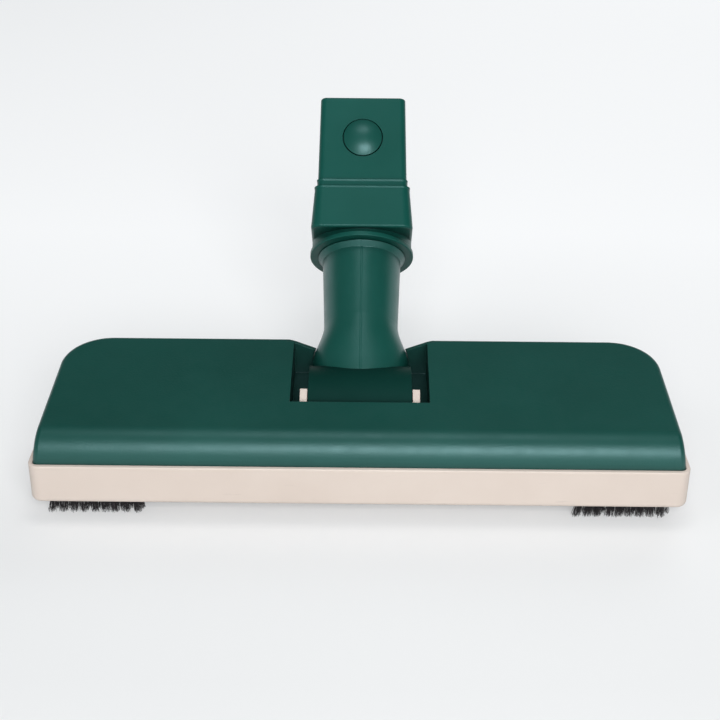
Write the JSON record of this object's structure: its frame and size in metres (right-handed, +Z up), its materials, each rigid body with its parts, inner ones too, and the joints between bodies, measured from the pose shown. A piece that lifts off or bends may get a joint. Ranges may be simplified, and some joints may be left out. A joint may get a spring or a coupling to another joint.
{
  "type": "vacuum floor brush head",
  "caption": "Wide wedge-shaped vacuum floor brush head with a pale rim, bristle strips and rear wheels, a tilting neck and a swivelling square plug with a snap button.",
  "frame": {"origin": "on the floor, under the middle of the whole part's box", "axes": "+X to the right along the head, +Y to the back, where the neck leans, +Z up"},
  "size_m": [0.2896, 0.192, 0.1366],
  "materials": {
    "housing_plastic": "satin moulded, fine grain",
    "neck_plastic": "satin moulded",
    "button_plastic": "smooth moulded",
    "base_plastic": "satin moulded cream",
    "bristle": "nylon bristles",
    "brush_back": "extruded strip",
    "felt": "felt",
    "wheel_plastic": "moulded",
    "steel": "plain"
  },
  "bodies": {
    "head": {"base_frame": "base_plastic", "top_housing": "housing_plastic", "pivot_pin_right": "steel", "pivot_pin_left": "steel", "front_brush_back_right": "brush_back", "front_brush_back_left": "brush_back", "front_bristles_right": "bristle", "front_bristles_left": "bristle", "rear_brush_back_right": "brush_back", "rear_brush_back_left": "brush_back", "rear_bristles_right": "bristle", "rear_bristles_left": "bristle", "axle_right": "steel", "axle_left": "steel", "housing_screws": "steel"},
    "neck": {"neck": "neck_plastic", "swivel_seal": "felt"},
    "connector": {"connector": "neck_plastic", "swivel_ring": "neck_plastic", "latch_cap": "neck_plastic", "latch_spring": "steel"},
    "button": {"latch_button": "button_plastic"},
    "wheel_right": {"wheel_right": "wheel_plastic"},
    "wheel_left": {"wheel_left": "wheel_plastic"}
  },
  "joints": [
    {"name": "neck_tilt", "type": "hinge", "parent": "head", "child": "neck", "pos_m": [0, -0.04201, 0.016], "axis": [1, 0, 0], "range_deg": [0, 48]},
    {"name": "connector_swivel", "type": "hinge", "parent": "neck", "child": "connector", "pos_m": [0, -0.04201, 0.016], "axis": [0, 0.7986, 0.6018], "range_deg": [-90, 90]},
    {"name": "latch_press", "type": "slide", "parent": "connector", "child": "button", "axis": [0, 0.7071, -0.7071], "range_m": [0, 0.003], "stiffness_N_per_m": 1000, "springref_m": -0.0015, "deforming": ["latch_spring"]},
    {"name": "wheel_right_spin", "type": "hinge", "parent": "head", "child": "wheel_right", "pos_m": [0.07, -0.02051, 0.012], "axis": [1, 0, 0], "continuous": true},
    {"name": "wheel_left_spin", "type": "hinge", "parent": "head", "child": "wheel_left", "pos_m": [-0.07, -0.02051, 0.012], "axis": [1, 0, 0], "continuous": true}
  ]
}
